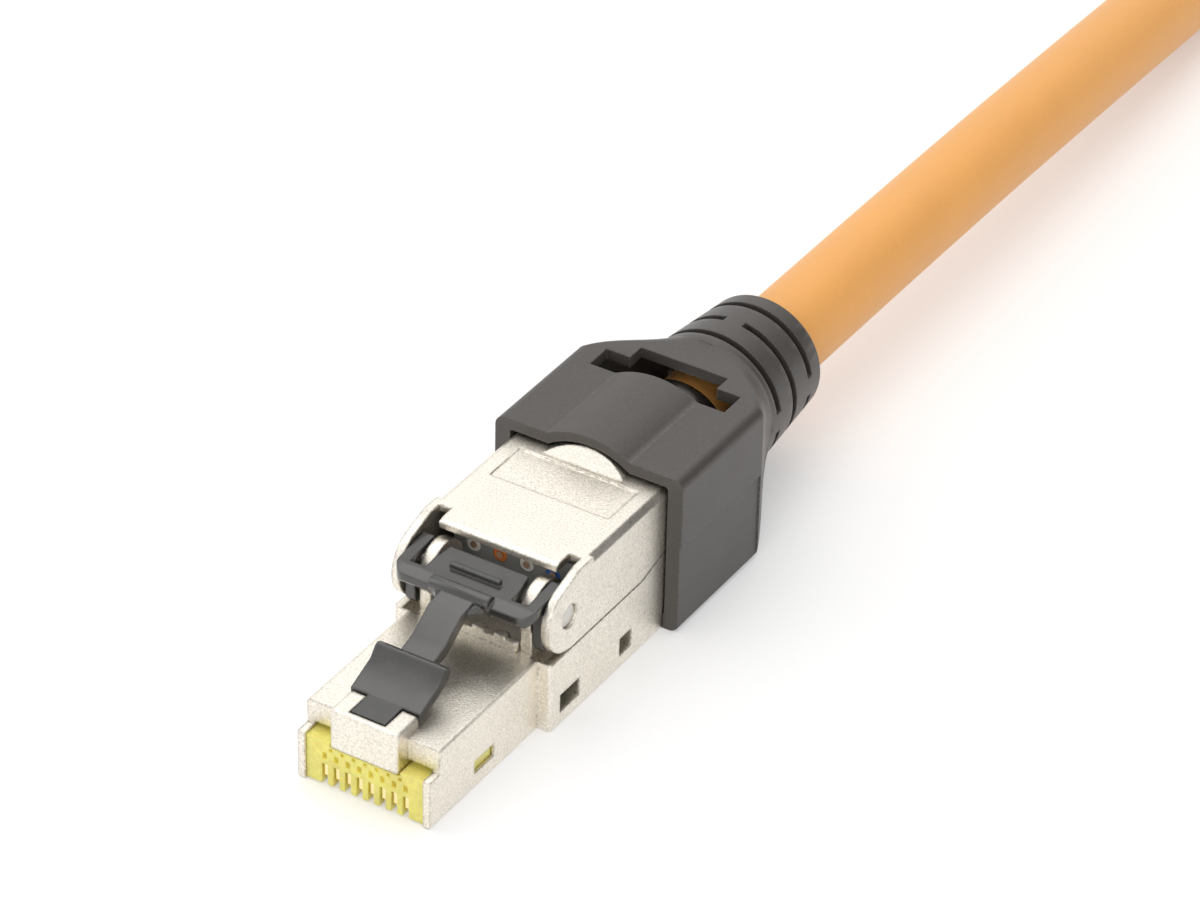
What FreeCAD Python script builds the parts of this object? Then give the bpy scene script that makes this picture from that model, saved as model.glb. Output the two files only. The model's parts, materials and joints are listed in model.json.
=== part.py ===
import FreeCAD, Part
import math
import os

import Sketcher
from FreeCAD import Rotation, Vector

# A shielded field-termination plug for network cable.
# Lengths are in millimetres, x across, y from the nose front towards the cable, z up from the
# underside. Each finished piece is then moved back by half the plug's length.

os.makedirs("parts", exist_ok=True)
doc = FreeCAD.newDocument("field_plug")

driving_sizes = [
    ("PlugLength", 57.0, "nose front to the end of the boot"),
    ("NoseWidth", 11.68, "standard plug nose, outside"),
    ("NoseLength", 14.4, "nose front to the step of the body"),
    ("NoseTop", 6.4, "top of the nose plate"),
    ("NoseWall", 0.64, "side wall of the nose"),
    ("NoseFloor", 0.7, "floor of the nose behind the contacts"),
    ("LipHeight", 4.25, "side walls in front of the top plate"),
    ("PlateFront", 1.3, "set-back of the top plate"),
    ("PlateUnder", 4.5, "underside of the top plate"),
    ("ContactWindowEnd", 8.6, "end of the opening under the contacts"),
    ("BridgeWidth", 6.0, "front bridge, across"),
    ("BridgeDepth", 2.75, "front bridge, along"),
    ("BridgeTop", 7.4, "front bridge, top"),
    ("BridgeUnder", 3.9, "front bridge, lower edge"),
    ("NotchDepth", 0.9, "depth of the tongue's notch in the bridge"),
    ("NotchFront", 0.5, "wall in front of the tongue's notch"),
    ("NoseWindowFront", 5.9, "side window of the nose, front"),
    ("NoseWindowRear", 8.55, "side window of the nose, rear"),
    ("NoseWindowLow", 1.35, "side window of the nose, low edge"),
    ("NoseWindowHigh", 2.5, "side window of the nose, high edge"),
    ("BodyWidth", 14.0, "body and lid, outside"),
    ("BodyTop", 6.3, "ledge that the lid closes on"),
    ("BodyWall", 0.9, "wall of the body"),
    ("BodyFloor", 0.9, "floor of the body"),
    ("DeckEnd", 19.6, "end of the solid deck under the latch"),
    ("SeamBend", 27.2, "where the ledge starts to rise"),
    ("SeamRear", 7.22, "height of the ledge at the tail"),
    ("TrayEnd", 38.6, "end of the open tray"),
    ("TrayStep", 1.55, "step that takes the hood's floor"),
    ("WindowFrontA", 15.8, "front body window, front"),
    ("WindowRearA", 18.5, "front body window, rear"),
    ("WindowFrontB", 24.2, "rear body window, front"),
    ("WindowRearB", 25.9, "rear body window, rear"),
    ("WindowLow", 1.2, "body windows, low edge"),
    ("WindowHigh", 2.8, "body windows, high edge"),
    ("ShelfTop", 2.57, "ledges that carry the circuit board"),
    ("CradleWidth", 9.8, "cradle under the cable, across"),
    ("CradleEnd", 44.0, "end of the cradle"),
    ("CradleUnder", 3.2, "underside of the cradle"),
    ("RidgeWidth", 7.8, "toothed ridge under the latch, across"),
    ("RidgeTop", 7.4, "toothed ridge, top"),
    ("RidgeThick", 0.7, "toothed ridge, along"),
    ("PinPlace", 16.95, "hinge pins, from the nose front"),
    ("PinHeight", 9.4, "hinge pins, above the underside"),
    ("PinRadius", 0.95, "heads of the hinge pins in the ears, radius"),
    ("ShankRadius", 0.5, "shanks of the hinge pins in the knuckles, radius"),
    ("PinGap", 0.06, "running gap round the pins in the lid"),
    ("PinRecess", 0.22, "how far the pins sit below the ears' outer faces"),
    ("KnuckleRadius", 2.35, "round top of the knuckles"),
    ("KnuckleInner", 4.0, "inner side of a knuckle from the middle"),
    ("KnuckleThick", 1.0, "thickness of a knuckle"),
    ("LidTop", 12.9, "top of the lid"),
    ("LidRoof", 0.72, "thickness of the lid's top"),
    ("LidSide", 0.72, "thickness of the lid's sides and ears"),
    ("LidSeam", 0.1, "gap between the lid and the ledge"),
    ("LidFront", 17.8, "front edge of the lid"),
    ("LidRear", 31.0, "rear edge of the lid"),
    ("EarRadius", 2.92, "round front of the ears"),
    ("EarTopPlace", 18.4, "where the ear's top reaches the lid's top"),
    ("NotchWidth", 1.04, "corner notches of the lid, across"),
    ("NotchLength", 1.8, "corner notches of the lid, along"),
    ("BevelPlace", 20.2, "start of the bevel on the lid's long edges"),
    ("BevelSize", 0.5, "bevel on the lid's long edges"),
    ("PadTop", 14.0, "raised pad at the lid's tail, top"),
    ("PadRadius", 6.2, "raised pad, radius across"),
    ("PadStart", 29.6, "raised pad, foot of its ramp"),
    ("PadRamp", 1.1, "raised pad, length of its ramp"),
    ("PanelWidth", 10.6, "plain sunk panel on the lid, across"),
    ("PanelStart", 24.9, "plain sunk panel, front"),
    ("PanelEnd", 29.1, "plain sunk panel, rear"),
    ("PanelDepth", 0.1, "plain sunk panel, depth"),
    ("LatchPivotPlace", 1.5, "where the latch flexes, from the nose front"),
    ("LatchPivotHeight", 7.2, "where the latch flexes, above the underside"),
    ("TongueWidth", 3.0, "tongue of the latch"),
    ("ShoulderWidth", 6.1, "locking shoulder of the latch"),
    ("ArmWidth", 2.9, "arm of the latch"),
    ("YokeWidth", 12.3, "yoke of the latch"),
    ("YokeFront", 12.6, "front edge of the yoke"),
    ("YokeCrease", 13.5, "crease behind the yoke's flange"),
    ("YokeRear", 17.2, "rear edge of the yoke's prongs"),
    ("YokeMiddleRear", 16.8, "rear edge of the yoke's middle plate"),
    ("YokeFrontTop", 11.1, "top of the yoke at its front edge"),
    ("YokeCreaseTop", 11.45, "top of the yoke at the crease"),
    ("YokeRearTop", 11.8, "top of the yoke at its rear edge"),
    ("YokeWindow", 13.9, "front edge of the yoke's windows"),
    ("YokeThick", 0.85, "thickness of the yoke"),
    ("YokeRearThick", 0.6, "thickness of the yoke at its rear edge"),
    ("SlotGap", 0.2, "gap between the yoke and a knuckle"),
    ("LegFront", 14.62, "legs of the yoke, front"),
    ("LegRear", 15.5, "legs of the yoke, rear"),
    ("LegInner", 5.25, "legs of the yoke, inner side from the middle"),
    ("LegOuter", 6.1, "legs of the yoke, outer side from the middle"),
    ("LegFoot", 7.0, "legs of the yoke, lowest point"),
    ("PocketFloor", 4.95, "floor of the pockets under the legs"),
    ("FingerBarLength", 5.2, "finger bar on the yoke"),
    ("FingerBarRadius", 0.6, "finger bar, radius"),
    ("FingerRibLength", 4.4, "thin rib on the yoke"),
    ("BlockFront", 0.2, "front of the contact block"),
    ("BlockEnd", 12.9, "rear of the contact block"),
    ("BlockTop", 4.05, "top of the contact block at the front"),
    ("BlockGap", 0.03, "gap round the contact block"),
    ("BlockUnder", 0.12, "underside of the contact block"),
    ("BlockStep", 5.9, "where the contact block steps down for the board"),
    ("ContactPitch", 1.02, "pitch of the contacts"),
    ("ContactThick", 0.35, "thickness of a contact"),
    ("ContactSlot", 0.56, "width of a contact slot"),
    ("ContactSlotTop", 1.95, "top of a contact slot"),
    ("ContactEdge", 0.3, "height of the contacts' lower edge"),
    ("BoardThick", 0.8, "thickness of the circuit board"),
    ("BoardWidth", 10.0, "circuit board, across"),
    ("BoardFront", 6.0, "circuit board, front"),
    ("BoardEnd", 28.6, "circuit board, rear"),
    ("SeatGap", 0.03, "gap between stacked pieces"),
    ("CarrierWidth", 11.2, "terminal block, across"),
    ("CarrierFront", 20.6, "terminal block, front"),
    ("CarrierEnd", 27.2, "terminal block, rear"),
    ("CarrierTop", 6.6, "terminal block, top"),
    ("ManagerWidth", 10.6, "wire manager, across"),
    ("ManagerFront", 20.0, "wire manager, front"),
    ("ManagerEnd", 27.6, "wire manager, rear"),
    ("ManagerTop", 11.6, "wire manager, top"),
    ("WirePitch", 2.36, "pitch of the wires in the manager"),
    ("UpperWireHeight", 9.95, "upper row of wires"),
    ("LowerWireHeight", 7.95, "lower row of wires"),
    ("LowerWireFront", 23.7, "cut ends of the lower row"),
    ("WireRadius", 0.6, "insulated wire, radius"),
    ("CoreRadius", 0.28, "copper core, radius"),
    ("WireHole", 0.64, "wire holes of the manager, radius"),
    ("TerminalWidth", 1.6, "insulation-displacement terminal, across"),
    ("TerminalThick", 0.3, "insulation-displacement terminal, along"),
    ("TerminalSlot", 0.62, "slot of a terminal"),
    ("UpperTerminalPlace", 22.0, "terminals of the upper row"),
    ("LowerTerminalPlace", 25.4, "terminals of the lower row"),
    ("TerminalReach", 0.75, "terminals above their wire's middle"),
    ("CableHeight", 8.1, "middle of the cable above the underside"),
    ("CableRadius", 3.75, "cable jacket, radius"),
    ("CableStart", 37.0, "cut end of the jacket inside the plug"),
    ("PairOffset", 1.29, "wire pairs from the cable's middle"),
    ("FoilRadius", 1.27, "foil round a pair, outer radius"),
    ("FoilThick", 0.05, "foil round a pair, thickness"),
    ("FoilStart", 32.8, "front edge of the pair foils"),
    ("BraidThick", 0.14, "braid folded back over the jacket"),
    ("BraidFront", 36.75, "fold of the braid"),
    ("BraidEnd", 44.8, "rear edge of the folded braid"),
    ("ClampThick", 0.38, "sheet of the cable clamp"),
    ("ClampFront", 41.4, "cable clamp, front"),
    ("ClampEnd", 44.4, "cable clamp, rear"),
    ("ClampLegFoot", 5.0, "lower edge of the clamp's sides"),
    ("HoodStart", 30.5, "rim of the hood"),
    ("HoodWidth", 16.9, "hood, across"),
    ("HoodTop", 14.1, "hood, flat top"),
    ("HoodWall", 1.33, "wall of the hood"),
    ("HoodRoof", 0.95, "roof of the hood"),
    ("HoodGap", 0.1, "gap round the housing inside the hood"),
    ("HoodCorner", 0.9, "corner radius of the hood"),
    ("HoodTaper", 42.4, "where the hood starts to narrow"),
    ("ArchRadius", 7.53, "arched bulge on the hood"),
    ("ArchTop", 15.1, "top of the arched bulge"),
    ("ArchHollowRadius", 6.3, "hollow under the arched bulge, radius"),
    ("ArchHollowTop", 14.3, "hollow under the arched bulge, top"),
    ("BootStart", 48.4, "root of the boot"),
    ("BootRootRadius", 6.15, "radius at the root of the boot"),
    ("BootEndRadius", 5.35, "radius at the end of the boot"),
    ("BootBore", 4.15, "bore of the boot"),
    ("SlotPlace", 49.3, "first row of bend slots"),
    ("SlotPitch", 2.9, "pitch of the rows of bend slots"),
    ("SlotWidth", 0.75, "width of a bend slot"),
    ("SlotRib", 1.7, "ribs between the bend slots"),
    ("TeeStart", 40.4, "window of the hood, front"),
    ("TeeWideEnd", 42.9, "window of the hood, rear of its wide part"),
    ("TeeEnd", 44.6, "window of the hood, rear of its narrow part"),
    ("TeeWide", 12.2, "window of the hood, wide part"),
    ("TeeNarrow", 7.9, "window of the hood, narrow part"),
    ("PartingHeight", 7.95, "moulding line on the hood's sides"),
    ("PartingDepth", 0.12, "how far the hood steps in below the moulding line"),
]

sheet = doc.addObject("Spreadsheet::Sheet", "Sizes")
for row, (name, value, meaning) in enumerate(driving_sizes, 1):
    sheet.set(f"A{row}", meaning)
    sheet.set(f"B{row}", str(value))
    sheet.setAlias(f"B{row}", name)
doc.recompute()


class Size:
    """A length with its number and the sheet expression that it follows."""

    def __init__(self, value, text):
        self.value = value
        self.text = text

    def joined(self, other, sign):
        other = as_size(other)
        left = self.value
        right = other.value
        results = {"+": left + right, "-": left - right, "*": left * right}
        result = results[sign] if sign in results else left / right
        return Size(result, f"({self.text} {sign} {other.text})")

    def __add__(self, other):
        return self.joined(other, "+")

    def __sub__(self, other):
        return self.joined(other, "-")

    def __mul__(self, other):
        return self.joined(other, "*")

    def __truediv__(self, other):
        return self.joined(other, "/")

    def __radd__(self, other):
        return as_size(other).joined(self, "+")

    def __rsub__(self, other):
        return as_size(other).joined(self, "-")

    def __rmul__(self, other):
        return as_size(other).joined(self, "*")

    def __neg__(self):
        return as_size(0).joined(self, "-")


def as_size(thing):
    if isinstance(thing, Size):
        return thing
    return Size(float(thing), f"({thing})")


class Sheet:
    """The driving sizes by name."""

    def __getattr__(self, name):
        return Size(float(sheet.get(name)), f"Sizes.{name}")


s = Sheet()
nodes = []


def bind(thing, place, size):
    size = as_size(size)
    thing.setExpression(place, size.text)


def finish(thing, label):
    thing.Label = label
    bind(thing, "Placement.Base.y", thing_shift(thing) - s.PlugLength / 2)
    nodes.append(thing)
    return thing


def thing_shift(thing):
    return shifts.get(thing.Name, as_size(0))


shifts = {}


# Sketches and prisms

def add_loop(sketch, corners):
    """A closed loop; a corner with a third value starts an arc of that radius, outwards."""
    first = sketch.GeometryCount
    count = len(corners)
    ends = []
    for index, corner in enumerate(corners):
        following = corners[(index + 1) % count]
        start = Vector(corner[0].value, corner[1].value, 0)
        end = Vector(following[0].value, following[1].value, 0)
        if len(corner) == 2:
            sketch.addGeometry(Part.LineSegment(start, end))
        else:
            radius = corner[2].value
            chord = end - start
            half = chord.Length / 2
            rise = math.sqrt(max(radius * radius - half * half, 0))
            inward = Vector(-chord.y, chord.x, 0).normalize()
            centre = start + chord / 2 + inward * rise
            angles = [math.atan2(p.y - centre.y, p.x - centre.x) for p in (start, end)]
            circle = Part.Circle(centre, Vector(0, 0, 1), radius)
            sketch.addGeometry(Part.ArcOfCircle(circle, angles[0], angles[1]))
        ends.append(first + index)
    for index, corner in enumerate(corners):
        line = ends[index]
        following = ends[(index + 1) % count]
        sketch.addConstraint(Sketcher.Constraint("Coincident", line, 2, following, 1))
        for kind, size in zip(("DistanceX", "DistanceY"), corner):
            rule = Sketcher.Constraint(kind, -1, 1, line, 1, size.value)
            number = sketch.addConstraint(rule)
            bind(sketch, f"Constraints[{number}]", size)
        if len(corner) == 3:
            number = sketch.addConstraint(Sketcher.Constraint("Radius", line, corner[2].value))
            bind(sketch, f"Constraints[{number}]", corner[2])


def add_circle(sketch, across, up, radius):
    centre = Vector(across.value, up.value, 0)
    line = sketch.addGeometry(Part.Circle(centre, Vector(0, 0, 1), radius.value))
    rules = [("DistanceX", across), ("DistanceY", up)]
    for kind, size in rules:
        number = sketch.addConstraint(Sketcher.Constraint(kind, -1, 1, line, 3, size.value))
        bind(sketch, f"Constraints[{number}]", size)
    number = sketch.addConstraint(Sketcher.Constraint("Radius", line, radius.value))
    bind(sketch, f"Constraints[{number}]", radius)


def sketch_on(body, plane, height, loops):
    """A sketch on a plane of the body: XY, XZ or YZ, at a height along the third axis."""
    sketch = body.newObject("Sketcher::SketchObject", "Outline")
    for feature in body.Origin.OriginFeatures:
        if feature.Role == plane + "_Plane":
            sketch.AttachmentSupport = [(feature, "")]
    sketch.MapMode = "FlatFace"
    height = as_size(height)
    bind(sketch, "AttachmentOffset.Base.z", -height if plane == "XZ" else height)
    for loop in loops:
        if isinstance(loop, tuple):
            add_circle(sketch, *[as_size(value) for value in loop])
        else:
            add_loop(sketch, [tuple(as_size(value) for value in corner) for corner in loop])
    return sketch


def prism(body, kind, plane, start, end, *loops):
    """Pads or pockets the loops between two heights of their plane's axis."""
    start = as_size(start)
    end = as_size(end)
    sketch = sketch_on(body, plane, (start + end) / 2, loops)
    feature = body.newObject("PartDesign::" + kind, kind)
    feature.Profile = sketch
    feature.SideType = "Symmetric"
    bind(feature, "Length", end - start)
    return feature


def pad(body, plane, start, end, *loops):
    return prism(body, "Pad", plane, start, end, *loops)


def pocket(body, plane, start, end, *loops):
    """A cut, which must take something away."""
    doc.recompute()
    before = body.Shape.Volume
    feature = prism(body, "Pocket", plane, start, end, *loops)
    doc.recompute()
    if body.Shape.Volume > before - 1e-6:
        raise ValueError(f"a cut in {body.Label} takes nothing away")
    return feature


def box(left, low, right, high):
    return [(left, low), (right, low), (right, high), (left, high)]


def rounded(half_width, low, high, radius):
    """A rectangle round the middle with rounded corners."""
    inner = half_width - radius
    return [(half_width, low + radius), (half_width, high - radius, radius),
            (inner, high), (-inner, high, radius),
            (-half_width, high - radius), (-half_width, low + radius, radius),
            (-inner, low), (inner, low, radius)]


def arc_points(across, along, radius, start, end):
    """Points of an arc about a centre between two angles in degrees."""
    steps = 8
    angles = [math.radians(start + (end - start) * step / steps) for step in range(steps + 1)]
    return [(across + radius * math.cos(angle), along + radius * math.sin(angle)) for angle in angles]


def new_body(name):
    return doc.addObject("PartDesign::Body", name)


def loft(body, kind, sections):
    """A loft through outlines at several places along y."""
    sketches = [sketch_on(body, "XZ", place, [outline]) for place, outline in sections]
    feature = body.newObject("PartDesign::" + kind, kind)
    feature.Profile = sketches[0]
    feature.Sections = sketches[1:]
    return feature


def turned(body, kind, *loops):
    """A ring about the cable's axis, from outlines in y and z above that axis."""
    sketch = sketch_on(body, "YZ", 0, loops)
    bind(sketch, "AttachmentOffset.Base.y", s.CableHeight)
    feature = body.newObject("PartDesign::" + kind, kind)
    feature.Profile = sketch
    feature.ReferenceAxis = (sketch, ["H_Axis"])
    feature.Angle = 360
    return feature


def edges_where(shape, test):
    """Names of the edges whose middle and direction pass a test."""
    names = []
    for number, edge in enumerate(shape.Edges, 1):
        ends = [edge.Vertexes[0].Point, edge.Vertexes[-1].Point]
        along = ends[1] - ends[0]
        if along.Length < 1e-6:
            continue
        middle = ends[0] + along / 2
        along.normalize()
        if test(middle, along):
            names.append(f"Edge{number}")
    return names


def soften(body, kind, size, test):
    """A fillet or chamfer on the edges that pass a test."""
    doc.recompute()
    base = body.Tip
    names = edges_where(base.Shape, test)
    if not names:
        raise ValueError(f"no edge of {body.Label} to soften")
    feature = body.newObject("PartDesign::" + kind, kind)
    feature.Base = (base, names)
    bind(feature, "Radius" if kind == "Fillet" else "Size", size)
    doc.recompute()
    if feature.Shape.isNull() or not feature.Shape.isValid():
        raise ValueError(f"a softened edge of {body.Label} fails")
    return feature


def near(value, size):
    return abs(value - as_size(size).value) < 0.01


# Lower housing: nose, body, knuckles and cable cradle in one casting

def make_lower_housing():
    body = new_body("lower_housing")
    nose = s.NoseWidth / 2
    inside = nose - s.NoseWall
    half = s.BodyWidth / 2
    overlap = 1
    pad(body, "YZ", -nose, nose,
        [(0, 0), (s.NoseLength + overlap, 0), (s.NoseLength + overlap, s.NoseTop),
         (s.PlateFront, s.NoseTop), (s.PlateFront, s.LipHeight), (0, s.LipHeight)])
    edge = 0.28
    soften(body, "Fillet", edge, lambda middle, along: (
        abs(along.y) > 0.99 and near(abs(middle.x), nose)
        and (near(middle.z, 0) or near(middle.z, s.NoseTop))))
    pocket(body, "YZ", -nose, nose,
           box(s.NoseLength, s.BodyTop, s.NoseLength + 2 * overlap, s.NoseTop + overlap))
    pad(body, "YZ", -half, half,
        [(s.NoseLength, 0), (s.HoodStart - s.HoodGap, 0), (s.HoodStart - s.HoodGap, s.TrayStep),
         (s.TrayEnd, s.TrayStep), (s.TrayEnd, s.SeamRear), (s.LidRear, s.SeamRear),
         (s.SeamBend, s.BodyTop), (s.NoseLength, s.BodyTop)])
    soften(body, "Fillet", edge, lambda middle, along: (
        abs(along.z) > 0.99 and near(abs(middle.x), half) and near(middle.y, s.NoseLength)))
    soften(body, "Fillet", edge, lambda middle, along: (
        abs(along.y) > 0.99 and near(abs(middle.x), half) and near(middle.z, 0)))

    # Duct through the nose, open underneath as far as the contacts reach
    pocket(body, "XZ", -overlap, s.ContactWindowEnd,
           box(-inside, -overlap, inside, s.PlateUnder))
    pocket(body, "XZ", s.ContactWindowEnd - overlap, s.DeckEnd + overlap,
           box(-inside, s.NoseFloor, inside, s.PlateUnder))
    # Open tray behind the deck
    tray = half - s.BodyWall
    pocket(body, "XZ", s.DeckEnd, s.HoodStart - s.HoodGap - s.BodyWall,
           box(-tray, s.BodyFloor, tray, s.LidTop))
    pocket(body, "XZ", s.DeckEnd + overlap, s.TrayEnd - s.BodyWall,
           box(-tray, s.TrayStep + s.BodyFloor, tray, s.LidTop))
    for side in (-1, 1):
        shelf = sorted([side * (tray + overlap / 4), side * (s.BoardWidth / 2 - 0.5)],
                       key=lambda size: size.value)
        pad(body, "XZ", s.DeckEnd - overlap / 2, s.BoardEnd,
            box(shelf[0], s.BodyFloor - overlap / 4, shelf[1], s.ShelfTop))
    # Cradle for the cable
    pad(body, "XZ", s.TrayEnd - s.BodyWall, s.CradleEnd,
        box(-s.CradleWidth / 2, s.CradleUnder, s.CradleWidth / 2, s.CableHeight))
    braid = s.CableRadius + 2 * s.SeatGap + s.BraidThick
    pocket(body, "XZ", s.TrayEnd - 2 * s.BodyWall, s.CradleEnd + overlap,
           (0, s.CableHeight, braid))
    # Bridge over the contact block, with the notch of the latch's tongue
    bridge = s.BridgeWidth / 2
    pad(body, "XZ", 0, s.BridgeDepth, box(-bridge, s.BridgeUnder, bridge, s.BridgeTop))
    soften(body, "Fillet", edge, lambda middle, along: (
        near(abs(middle.x), bridge) and abs(along.y) > 0.99 and near(middle.z, s.BridgeTop)))
    soften(body, "Fillet", edge, lambda middle, along: (
        near(middle.y, 0) and near(middle.z, s.BridgeTop) and abs(along.x) > 0.99))
    tongue = s.TongueWidth / 2 + s.SlotGap / 2
    pocket(body, "XZ", s.NotchFront, s.BridgeDepth + overlap,
           box(-tongue, s.BridgeTop - s.NotchDepth, tongue, s.BridgeTop + overlap))
    # Toothed ridge at the step under the latch
    teeth = 8
    pitch = s.RidgeWidth / teeth
    ridge = [(-s.RidgeWidth / 2, s.BodyTop - overlap / 2), (s.RidgeWidth / 2, s.BodyTop - overlap / 2)]
    for tooth in range(teeth):
        right = s.RidgeWidth / 2 - pitch * tooth
        high = s.RidgeTop if tooth % 2 else s.RidgeTop - 0.3
        ridge += [(right, high), (right - pitch, high)]
    pad(body, "XZ", s.NoseLength, s.NoseLength + s.RidgeThick, ridge)
    # Knuckles, round on top, with the pin holes
    for side in (-1, 1):
        ends = sorted([side * s.KnuckleInner, side * (s.KnuckleInner + s.KnuckleThick)],
                      key=lambda size: size.value)
        pad(body, "YZ", ends[0], ends[1], (s.PinPlace, s.PinHeight, s.KnuckleRadius))
        pad(body, "YZ", ends[0], ends[1],
            box(s.PinPlace - s.KnuckleRadius + edge, s.BodyTop - overlap / 2,
                s.PinPlace + s.KnuckleRadius - edge, s.PinHeight))
    pocket(body, "YZ", -half, half, (s.PinPlace, s.PinHeight, s.ShankRadius))
    # Pockets that the latch's legs dip into
    for side in (-1, 1):
        ends = sorted([side * (s.LegInner - s.SlotGap), side * (s.LegOuter + s.SlotGap)],
                      key=lambda size: size.value)
        pocket(body, "XY", s.PocketFloor, s.BodyTop + overlap / 4,
               box(ends[0], s.LegFront - s.SlotGap / 2, ends[1], s.LegRear + 3 * s.SlotGap))
    # Side windows
    pocket(body, "YZ", -nose - overlap, nose + overlap,
           box(s.NoseWindowFront, s.NoseWindowLow, s.NoseWindowRear, s.NoseWindowHigh))
    for front, rear in ((s.WindowFrontA, s.WindowRearA), (s.WindowFrontB, s.WindowRearB)):
        pocket(body, "YZ", -half - overlap, -inside + overlap / 2,
               box(front, s.WindowLow, rear, s.WindowHigh))
        pocket(body, "YZ", inside - overlap / 2, half + overlap,
               box(front, s.WindowLow, rear, s.WindowHigh))
    return finish(body, "lower_housing")


make_lower_housing()


def make_pins():
    """A head that turns in the lid's ear, on a thinner shank pressed into the knuckle."""
    ear = s.BodyWidth / 2 - s.LidSide - s.SeatGap
    for name, side in (("hinge_pin_left", -1), ("hinge_pin_right", 1)):
        body = new_body(name)
        shank = sorted([side * s.KnuckleInner, side * ear], key=lambda size: size.value)
        head = sorted([side * ear, side * (s.BodyWidth / 2 - s.PinRecess)], key=lambda size: size.value)
        pad(body, "YZ", shank[0], shank[1], (s.PinPlace, s.PinHeight, s.ShankRadius - s.PinGap / 6))
        pad(body, "YZ", head[0], head[1], (s.PinPlace, s.PinHeight, s.PinRadius))
        finish(body, name)


make_pins()


# Lid: a roof with sides that end in the hinge ears

def make_lid():
    body = new_body("lid")
    half = s.BodyWidth / 2
    inside = half - s.LidSide
    spare = 1
    low = s.BodyTop + s.LidSeam
    pad(body, "YZ", -half, half,
        [(s.PinPlace, low), (s.SeamBend, low), (s.LidRear, s.SeamRear + s.LidSeam),
         (s.LidRear, s.LidTop), (s.EarTopPlace, s.LidTop),
         (s.PinPlace - s.EarRadius * 0.26, s.PinHeight + s.EarRadius * 0.965)])
    pad(body, "YZ", -half, half, (s.PinPlace, s.PinHeight, s.EarRadius))
    # Raised pad that runs up under the hood's arch
    pad(body, "XZ", s.PadStart, s.LidRear, (0, s.PadTop - s.PadRadius, s.PadRadius))
    pocket(body, "XZ", s.PinPlace - s.EarRadius - spare, s.LidRear + spare,
           box(-inside, s.PadTop - 2 * s.PadRadius - spare, inside, s.LidTop - s.LidRoof))
    # The front is open between the ears, with a notch in each corner
    front = s.LidFront
    notch = inside - s.NotchWidth
    rear = s.LidFront + s.NotchLength
    start = s.PinPlace - s.EarRadius - spare
    pocket(body, "XY", s.PinHeight, s.LidTop + spare,
           [(-inside, start), (inside, start), (inside, rear), (notch, rear), (notch, front),
            (-notch, front), (-notch, rear), (-inside, rear)])
    pocket(body, "YZ", -half - spare, half + spare,
           (s.PinPlace, s.PinHeight, s.PinRadius + s.PinGap))
    pocket(body, "YZ", -half, half,
           [(s.PadStart, s.LidTop), (s.PadStart + s.PadRamp, s.PadTop),
            (s.PadStart + s.PadRamp, s.PadTop + spare), (s.PadStart - spare, s.PadTop + spare),
            (s.PadStart - spare, s.LidTop)])
    # Bevels on the long edges
    for side in (-1, 1):
        pocket(body, "XZ", s.BevelPlace, s.LidRear + spare,
               [(side * (half - s.BevelSize), s.LidTop), (side * (half + spare / 2), s.LidTop),
                (side * (half + spare / 2), s.LidTop - s.BevelSize),
                (side * half, s.LidTop - s.BevelSize)][::side])
    pocket(body, "XY", s.LidTop - s.PanelDepth, s.LidTop + spare / 4,
           box(-s.PanelWidth / 2, s.PanelStart, s.PanelWidth / 2, s.PanelEnd))
    return finish(body, "lid")


make_lid()


# Latch: tongue, locking shoulder, arm and a yoke that straddles the knuckles

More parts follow.
